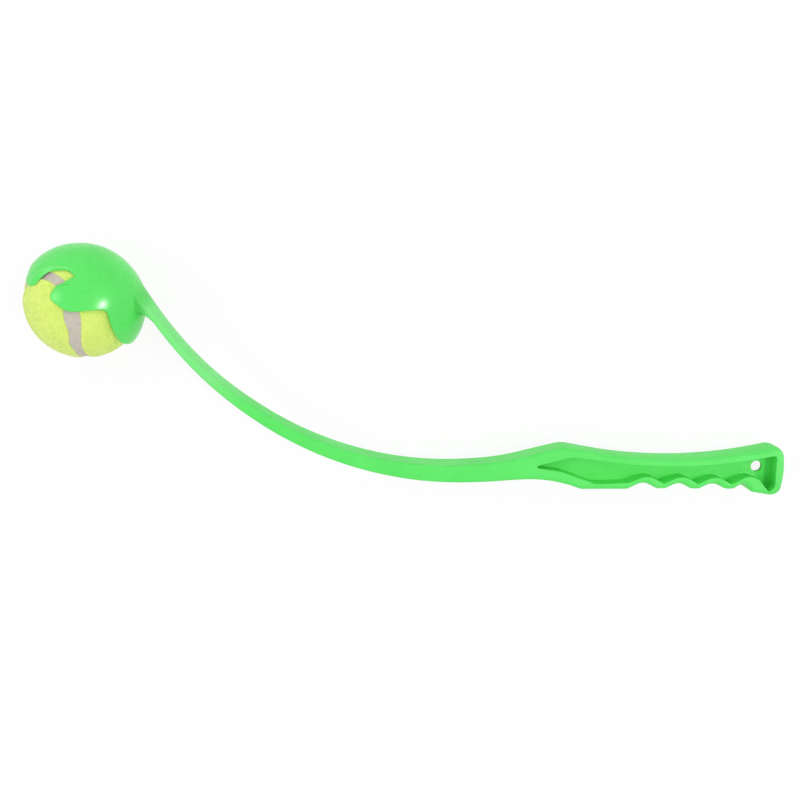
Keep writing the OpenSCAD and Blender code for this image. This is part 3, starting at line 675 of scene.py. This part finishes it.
def makeArmAndGrip():
    (upper, topCorner), (upperIn, topCornerIn), lower, lowerIn, outMarks, inMarks = gripChains()
    lowWay, inWay, upWay, upInWay = (wayAlong(chain) for chain in (lower, lowerIn, upper, upperIn))
    tipX = upperIn[0, 0]
    early = lower[:, 0] < tipX + grip["tipRoom"]
    startWay = np.interp(tipX, lower[early, 0], lowWay[early])
    # matching places on the lower outline and on the pocket's lower side, from its tip to the butt's middle
    anchorsOut, anchorsIn = np.r_[startWay, outMarks, lowWay[-1]], np.r_[0, inMarks, inWay[-1]]
    share = (anchorsIn / anchorsIn[-1] + (anchorsOut - startWay) / (lowWay[-1] - startWay)) / 2
    t = crowdedStations(share)
    inAt = np.interp(t, share, anchorsIn)
    low = atWay(lower, lowWay, np.interp(t, share, anchorsOut))
    lowIn = atWay(lowerIn, inWay, inAt)
    # the upper side takes the same places along X, then goes round its own corner to the middle of the butt
    cornerT = share[-2]
    known = t <= grip["upperShare"] * cornerT

    def upperWay(points, way, x, corner):
        before = corner - grip["cornerClear"]
        return np.interp(x, points[:before, 0], way[:before])

    def upperAt(points, way, x, corner):
        straight = upperWay(points, way, x, corner)[known]
        knownWay = np.r_[straight, way[corner], way[-1]]
        return atWay(points, way, np.interp(t, np.r_[t[known], cornerT, 1], knownWay))

    top = upperAt(upper, upWay, low[:, 0], topCorner)
    topIn = upperAt(upperIn, upInWay, lowIn[:, 0], topCornerIn)
    inUp, inLow = leftOf(unit(np.gradient(topIn, axis=0))), -leftOf(unit(np.gradient(lowIn, axis=0)))
    inUp[-1], inLow[-1], inUp[0], inLow[0] = (1, 0), (1, 0), (-1, 0), (-1, 0)
    toSharp = np.abs(inAt[:, None] - np.array(inMarks)[grip["sharpIn"]]).min(1)
    coveTop, coveLow = webFillets(t, cornerT, toSharp, topIn, lowIn)

    # stations from the root to the pocket's tip have no pocket: its columns lie on one line on the side
    s = np.linspace(arm["rootFrom"], armLength, arm["steps"])
    place, up, thick, wide = armAt(s)
    bridgeLow = atWay(lower, lowWay, np.linspace(0, 1, arm["bridgeSteps"])[1:-1] * startWay)
    bridgeTop = atWay(upper, upWay, upperWay(upper, upWay, bridgeLow[:, 0], topCorner))
    tip = upperIn[0] - np.array([grip["pocketEdge"] * grip["tipClear"], 0])
    bridgeMid = tip * np.minimum(bridgeLow[:, :1] / tip[0], 1)
    bridgeMid[:, 1] += place[-1, 1] * (1 - bridgeMid[:, 0] / tip[0])
    extraTop, extraLow = (np.interp(s, arm["extraAt"], arm[side]) for side in ("extraTop", "extraLow"))
    plainTop = np.vstack([place + up * (thick / 2 + extraTop)[:, None], bridgeTop])
    plainLow = np.vstack([place - up * (thick / 2 + extraLow)[:, None], bridgeLow])
    plainMid = np.vstack([place, bridgeMid])
    top, low = np.vstack([plainTop, top]), np.vstack([plainLow, low])
    topIn, lowIn = np.vstack([plainMid, topIn]), np.vstack([plainMid, lowIn])
    plain, total = len(plainMid), len(top)
    # the arm flows into the grip: both edges are smoothed near the joint
    near = np.exp(-(low[1:-1, :1] / (2 * arm["smoothJoint"])) ** 2) * arm["smoothShare"]
    for _ in range(arm["smoothRounds"]):
        for edge in (top, low):
            edge[1:-1] += near * ((edge[:-2] + edge[2:]) / 2 - edge[1:-1])
    outUp, outLow = leftOf(unit(np.gradient(top, axis=0))), -leftOf(unit(np.gradient(low, axis=0)))
    outUp[-1], outLow[-1] = (1, 0), (1, 0)
    none = np.zeros((plain, 2))
    inUp, inLow = np.vstack([none, inUp]), np.vstack([none, inLow])
    coveTop, coveLow = np.r_[np.zeros(plain), coveTop], np.r_[np.zeros(plain), coveLow]
    pocketed = (np.arange(total) >= plain).astype(float)
    half = np.r_[wide / 2, np.full(total - len(wide), arm["wideGrip"] / 2)]
    web = np.where(pocketed > 0, grip["webHalf"], half)
    along = np.r_[s, s[-1] + low[len(s):, 0]]
    topDeep, lowDeep = (np.interp(along, arm["deepAt"], arm[side]) for side in ("topDeep", "lowDeep"))
    # both sides take one depth at the butt's middle
    atButt = np.r_[np.zeros(plain), easeFrom(t, *grip["endFrom"])]
    topDeep, lowDeep = (side + (grip["endDeep"] - side) * atButt for side in (topDeep, lowDeep))

    # loops: upper half, web and lower half on the near side, then the same mirrored on the far side
    upPlan, upZ = halfLoop(top, outUp, topIn, inUp, half, topDeep, web, coveTop, pocketed)
    lowPlan, lowZ = halfLoop(low, outLow, lowIn, inLow, half, lowDeep, web, coveLow, pocketed)
    k = np.linspace(0, 1, grip["webCols"] + 2)[1:-1, None]
    webPlan = upPlan[:, -1:] * (1 - k) + lowPlan[:, -1:] * k
    webZ = np.broadcast_to(web[:, None], webPlan.shape[:2])
    plan = np.concatenate([upPlan, webPlan, lowPlan[:, ::-1]], 1)
    nearSide = np.concatenate([plan, np.concatenate([upZ, webZ, lowZ[:, ::-1]], 1)[..., None]], -1)
    farSide = nearSide[:, ::-1][:, 1:-1] * layout["mirror"]
    loops = np.concatenate([nearSide, farSide], 1)
    flare = rootFlare(loops[0], (top[0] + low[0]) / 2, up[0], np.linalg.norm(top[0] - low[0]), half[0])
    loops = np.concatenate([flare, loops], 0)
    points, faces = cutHole(loops, upPlan.shape[1], len(flare) + plain)
    makePiece("curvedArmAndGrip", points + layout["jointAt"], faces, "thrower", armPlastic,
              ["throwing_arm", "grip_handle"])


makeArmAndGrip()

# ball: two felt panels with a napped skin, short fibres on them, and the rubber seam between the panels
ball = {
    "radius": 32.5, "sunk": 0.08, "nap": 0.16, "napSize": 0.9, "lump": 0.12, "lumpSize": 7,
    "wave": (0.76, 0.24), "roll": (-48, 16, -5), "edgeRound": 0.9, "under": 29.6, "spine": 1.75,
    "turns": 460, "rings": 84, "ringCrowd": 0.9, "edgeRings": 9,
    # seam: half width, ragged edge with its two sizes, dish, and roughness as height, size and shift
    "seamR": 31.75, "seamHalf": 3.5, "ragged": 0.3, "raggedSize": 1.3, "raggedLong": 3.1, "seamTuck": 0.5,
    "seamDish": 0.12, "seamRough": [(0.05, 0.8, 0.0), (0.06, 2.5, 4.0)], "across": 18, "seamSamples": 720,
    # extra width of the seam beside panel a and panel b, at angles along the seam in degrees
    "wideAt": [0, 198, 212, 228, 240, 249, 255, 258, 261, 264, 268, 273, 276, 279, 284, 300, 360],
    "wideA": [0.3, 0.3, 0.2, 0.2, 0.2, -0.7, -0.7, -1.4, -1.6, -2.0, -2.15, -2.1, -1.6, -1.4, -0.5, 0.3, 0.3],
    "wideB": [0.3, -1.2, -1.6, -1.6, 0.8, 2.9, 2.9, 2.3, 1.4, 1.45, 2, 1.8, 0.6, -0.3, -0.6, 0.2, 0.3],
    # direction, height and breadth of a soft bulge under the rear lobe
    "bulge": (0.55, -0.8, 0.15), "bulgeHigh": 0.5, "bulgeWide": 0.06,
    "fibres": 5200, "fibreLong": (1.1, 2.4), "fibreThick": 0.045, "fibreHigh": 0.38, "fibreRise": (0.35, 1),
    "fibreClear": 0.35, "fibreRoot": 0.1, "fibreLie": 0.8, "fibreCurl": (-0.5, 0.5), "fibreArch": 2.4,
    "fibreTaper": [0, 1, 0.85, 0.6, 0], "fibreSides": [90, 210, 330],
    # random table: seed, cells, and shifts that keep the waves drawn from it apart
    "seed": 11, "noiseCells": 32, "noiseShift": 16.3, "raggedShift": 5.0, "napShift": 9.0, "lumpShift": 3.0,
}
dice = np.random.default_rng(ball["seed"])
noiseTable = dice.random((ball["noiseCells"],) * 3)


# smooth random values from -1 to 1 at points, by easing between the eight corners of cells of the given size
def noiseAt(points, size, shift=0.0):
    q = points / size + ball["noiseShift"] + shift
    cell = np.floor(q).astype(int)
    f = ease(q - cell)
    total = np.zeros(points.shape[:-1])
    for corner in np.ndindex(2, 2, 2):
        share = np.prod(np.where(corner, f, 1 - f), -1)
        total += share * noiseTable[tuple(np.moveaxis((cell + corner) % ball["noiseCells"], -1, 0))]
    return 2 * total - 1


# turn of the ball in its cup: about X, then Y, then Z
def ballTurn():
    x, y, z = np.radians(ball["roll"])
    aboutX = np.array([[1, 0, 0], [0, np.cos(x), -np.sin(x)], [0, np.sin(x), np.cos(x)]])
    aboutY = np.array([[np.cos(y), 0, np.sin(y)], [0, 1, 0], [-np.sin(y), 0, np.cos(y)]])
    aboutZ = np.array([[np.cos(z), -np.sin(z), 0], [np.sin(z), np.cos(z), 0], [0, 0, 1]])
    return aboutZ @ aboutY @ aboutX


# points about the ball's centre turned and moved to their place in the part
def inCup(points):
    return layout["ballAt"] + points.reshape(-1, 3) @ ballTurn().T


# angles of a full turn in equal steps
def fullTurn(steps):
    return np.arange(steps) * 2 * np.pi / steps


# seam on a unit ball: x = a cos t + b cos 3t, y = a sin t - b sin 3t, z = 2 root(ab) sin 2t;
# also gives the way across it to panel a
def seamAt(t):
    a, b = ball["wave"]
    c = 2 * np.sqrt(a * b)
    point = np.stack([a * np.cos(t) + b * np.cos(3 * t), a * np.sin(t) - b * np.sin(3 * t),
                      c * np.sin(2 * t)], -1)
    way = np.stack([-a * np.sin(t) - 3 * b * np.sin(3 * t), a * np.cos(t) - 3 * b * np.cos(3 * t),
                    2 * c * np.cos(2 * t)], -1)
    return point, unit(np.cross(point, way))


# distance from the seam's middle to the felt's ragged edge, towards panel a (1) or panel b (-1)
def seamHalfAt(t, panel):
    point, side = seamAt(t)
    wide = np.interp(np.degrees(t) % 360, ball["wideAt"], ball["wideA"] if panel > 0 else ball["wideB"])
    edge = unit(point + side * panel * ball["seamHalf"] / ball["radius"]) * ball["radius"]
    ragged = noiseAt(edge, ball["raggedSize"]) + noiseAt(edge, ball["raggedLong"], ball["raggedShift"])
    return ball["seamHalf"] + wide + ball["ragged"] * ragged


def besideSeam(t, distance):
    point, side = seamAt(t)
    return unit(point + side * np.asarray(distance)[..., None] / ball["radius"])


# directions to a panel's edge
def panelEdge(t, panel):
    return besideSeam(t, panel * seamHalfAt(t, panel))


# directions in a panel: a lies round +Z and b round -Z; each line runs from the panel's spine, an arc
# through both its lobes, straight out to the panel's edge, and the lines of a lobe's end fan out from the
# end of the spine
def panelGrid(panel, turns, shares):
    t = fullTurn(turns)
    edge = panelEdge(t, panel)
    lobes, pole = unit(np.array([1, -panel, 0])), np.array([0, 0, panel])
    seam = seamAt(t)[0]
    tilt = np.clip(np.arctan2(seam @ lobes, seam @ pole), -ball["spine"], ball["spine"])[:, None]
    spine = np.sin(tilt) * lobes + np.cos(tilt) * pole
    return unit(spine * (1 - shares[:, None, None]) + edge * shares[:, None, None])


# distance from directions to the nearest point of a panel's edge
def toPanelEdge(direction, panel):
    edge = panelEdge(fullTurn(ball["seamSamples"]), panel)
    nearest = np.clip((direction.reshape(-1, 3) @ edge.T).max(1), -1, 1)
    return np.arccos(nearest).reshape(direction.shape[:-1]) * ball["radius"]


# height of the felt: a slow lumpy wave, a fine nap with a second wave half as long and half as high,
# a soft bulge, and a rounded drop to its edge
def feltHeight(direction, toEdge):
    at, soft = direction * ball["radius"], ball["edgeRound"]
    drop = soft - np.sqrt(np.maximum(soft ** 2 - np.maximum(soft - toEdge, 0) ** 2, 0))
    fine = 0.5 * noiseAt(at, ball["napSize"] / 2, ball["napShift"])
    nap = ball["nap"] * (noiseAt(at, ball["napSize"]) + fine) / 1.5
    toBulge = direction @ ballTurn().T @ unit(np.array(ball["bulge"])) - 1
    bulge = ball["bulgeHigh"] * np.exp(toBulge / ball["bulgeWide"])
    lump = ball["lump"] * noiseAt(at, ball["lumpSize"], ball["lumpShift"])
    return ball["radius"] - ball["sunk"] + nap + lump + bulge - drop


# a felt panel: its skin, the wall of its edge, and a floor that folds back to the spine
def makePanel(name, panel, node):
    shares = np.r_[np.linspace(0, 1, ball["rings"]) ** ball["ringCrowd"], np.ones(ball["edgeRings"])]
    direction = panelGrid(panel, ball["turns"], shares)
    height = feltHeight(direction, toPanelEdge(direction, panel))
    down = np.linspace(0, 1, ball["edgeRings"] + 1)[1:, None]
    height[ball["rings"]:] = height[ball["rings"] - 1] * (1 - down) + ball["under"] * down
    loops = np.concatenate([direction * height[..., None], direction[:1] * ball["under"]], 0)
    makePiece(name, inCup(loops), gridFaces(*loops.shape[:2]), "ball", felt, [node])


# the seam: a slightly dished, rough strip that is tucked under both panels' edges
def makeSeam():
    t = fullTurn(ball["turns"])
    k = np.linspace(-1, 1, ball["across"])
    reachA, reachB = (seamHalfAt(t, panel) + ball["seamTuck"] for panel in (1, -1))
    top = besideSeam(t[:, None], np.where(k > 0, k * reachA[:, None], k * reachB[:, None]))
    rough = sum(high * noiseAt(top * ball["radius"], size, shift) for high, size, shift in ball["seamRough"])
    height = ball["seamR"] - ball["seamDish"] * (1 - k ** 2) + rough
    loops = np.concatenate([top * height[..., None], (top * ball["under"])[:, ::-1]], 1)
    faces = gridFaces(*loops.shape[:2], roundRows=True)
    makePiece("seamStrip", inCup(loops), faces, "ball", seamRubber, ["felt_seam"])


# fibres: thin three-sided tapering curls that lie along the felt and rise a little from it; of three times
# as many directions as are needed, those clear of the seam on the panel's side are taken
def makeFibres(name, panel):
    axis = unit(dice.normal(size=(ball["fibres"] * 3, 3)))
    t = fullTurn(ball["seamSamples"])
    seam, side = seamAt(t)
    near = np.argmax(axis @ seam.T, 1)
    beyond = panel * (axis * side[near]).sum(1) * ball["radius"] - seamHalfAt(t, panel)[near]
    axis = axis[beyond > ball["fibreClear"]][:ball["fibres"]]
    count, rows, cols = len(axis), len(ball["fibreTaper"]), len(ball["fibreSides"])
    root = axis * (feltHeight(axis, toPanelEdge(axis, panel)) - ball["fibreRoot"])[:, None]
    along = unit(np.cross(axis, dice.normal(size=(count, 3))))
    across = np.cross(axis, along)
    long = dice.uniform(*ball["fibreLong"], size=(count, 1, 1))
    high = dice.uniform(*ball["fibreRise"], size=(count, 1, 1)) * ball["fibreHigh"]
    curl = dice.uniform(*ball["fibreCurl"], size=(count, 1, 1))
    q = np.linspace(0, 1, rows)[None, :, None]
    line = (root[:, None] + along[:, None] * long * q * ball["fibreLie"]
            + across[:, None] * curl * long * q ** 2
            + axis[:, None] * (high * np.sin(q * ball["fibreArch"]) - ball["fibreRoot"] * q))
    turn = np.radians(ball["fibreSides"])[None, None, :, None]
    ring = across[:, None, None] * np.cos(turn) + axis[:, None, None] * np.sin(turn)
    thick = ball["fibreThick"] * np.array(ball["fibreTaper"])[None, :, None, None]
    faces = (np.arange(count)[:, None, None] * rows * cols + gridFaces(rows, cols)[None]).reshape(-1, 4)
    makePiece(name, inCup(line[:, :, None] + ring * thick), faces, "ball", felt)


makePanel("feltPanelA", 1, "felt_panel_a")
makePanel("feltPanelB", -1, "felt_panel_b")
makeSeam()
makeFibres("feltNapA", 1)
makeFibres("feltNapB", -1)

# stage, camera and light; the floor has a height at the origin and a slope along X
stage = {"slope": 0.0599, "height": 0.01144, "half": 3.0, "white": (0.93, 0.93, 0.93, 1), "glow": 0.9}


# 1 for rays that meet a thing seen directly, in gloss or through glass, and otherwise 0
def addSeen(nodes, links):
    rays = nodes.new("ShaderNodeLightPath")
    seen = rays.outputs["Is Camera Ray"]
    for kind in ("Is Glossy Ray", "Is Transmission Ray"):
        either = nodes.new("ShaderNodeMath")
        either.operation = "MAXIMUM"
        links.new(seen, either.inputs[0])
        links.new(rays.outputs[kind], either.inputs[1])
        seen = either.outputs[0]
    return seen


# a sloping matt floor under the part, mixed with a white glow where it is seen
def makeFloor():
    half = stage["half"]
    corners = np.array([(-half, -half), (half, -half), (half, half), (-half, half)])
    points = np.c_[corners, stage["height"] + stage["slope"] * corners[:, 0]]
    mesh = bpy.data.meshes.new("paleFloor")
    mesh.from_pydata(points.tolist(), [], [(0, 1, 2, 3)])
    floor = bpy.data.objects.new("paleFloor", mesh)
    scene.collection.objects.link(floor)
    material, nodes, links, shader, _ = newMaterial("paleFloor")
    shader.inputs["Base Color"].default_value = stage["white"]
    shader.inputs["Roughness"].default_value = 1.0
    shader.inputs["Specular IOR Level"].default_value = 0.0
    glow = nodes.new("ShaderNodeEmission")
    mix = nodes.new("ShaderNodeMixShader")
    links.new(addRange(nodes, links, addSeen(nodes, links), 0, stage["glow"], (0, 1)), mix.inputs[0])
    links.new(shader.outputs[0], mix.inputs[1])
    links.new(glow.outputs[0], mix.inputs[2])
    links.new(mix.outputs[0], nodes["Material Output"].inputs["Surface"])
    mesh.materials.append(material)


makeFloor()

view = {"lens": 36.9, "sensor": 36, "from": np.array([186.82, 27.28, 486.41]), "tilt": -10}
camera = bpy.data.objects.new("photoCamera", bpy.data.cameras.new("photoCamera"))
scene.collection.objects.link(camera)
camera.data.sensor_width = view["sensor"]
camera.data.lens = view["lens"]
camera.location = (layout["ballAt"] + view["from"]) * layout["scale"]
camera.rotation_euler = (np.radians(view["tilt"]), 0, 0)
scene.camera = camera

light = {
    "ambient": 0.7, "distance": 2.5,
    # lamps: name, power, size, direction from the ball, and if it lights matt surfaces and shows in gloss
    "lamps": [
        ("leftBox", 8, 0.25, (-0.68, 0.12, 0.72), True, False),
        ("rightBox", 15, 0.35, (0.5, 0, 0.866), True, False),
        ("topBox", 6, 1.2, (-0.1, 0.72, 0.69), True, False),
        ("leftGlow", 12, 0.75, (-0.5, 0.2, 0.84), False, True),
        ("rightGlow", 45, 0.22, (0.777, 0.026, 0.629), False, True),
    ],
}


# a world that is white where it is seen and has the ambient level elsewhere
def makeWorld():
    world = bpy.data.worlds.new("studio")
    scene.world = world
    world.use_nodes = True
    nodes, links = world.node_tree.nodes, world.node_tree.links
    nodes["Background"].inputs["Color"].default_value = (1, 1, 1, 1)
    strength = addRange(nodes, links, addSeen(nodes, links), light["ambient"], 1, (0, 1))
    links.new(strength, nodes["Background"].inputs["Strength"])


# square lamp that faces the ball
def makeLamp(name, energy, size, way, matt, gloss):
    target = layout["ballAt"] * layout["scale"]
    place = target + unit(np.array(way)) * light["distance"]
    lamp = bpy.data.objects.new(name, bpy.data.lights.new(name, "AREA"))
    scene.collection.objects.link(lamp)
    lamp.data.energy = energy
    lamp.data.size = size
    lamp.visible_diffuse, lamp.visible_glossy = matt, gloss
    lamp.location = place
    lamp.rotation_euler = (Vector(target) - Vector(place)).to_track_quat("-Z", "Y").to_euler()


makeWorld()
for lampRow in light["lamps"]:
    makeLamp(*lampRow)
print("stage, camera and light made")
scene.view_settings.view_transform = "Standard"
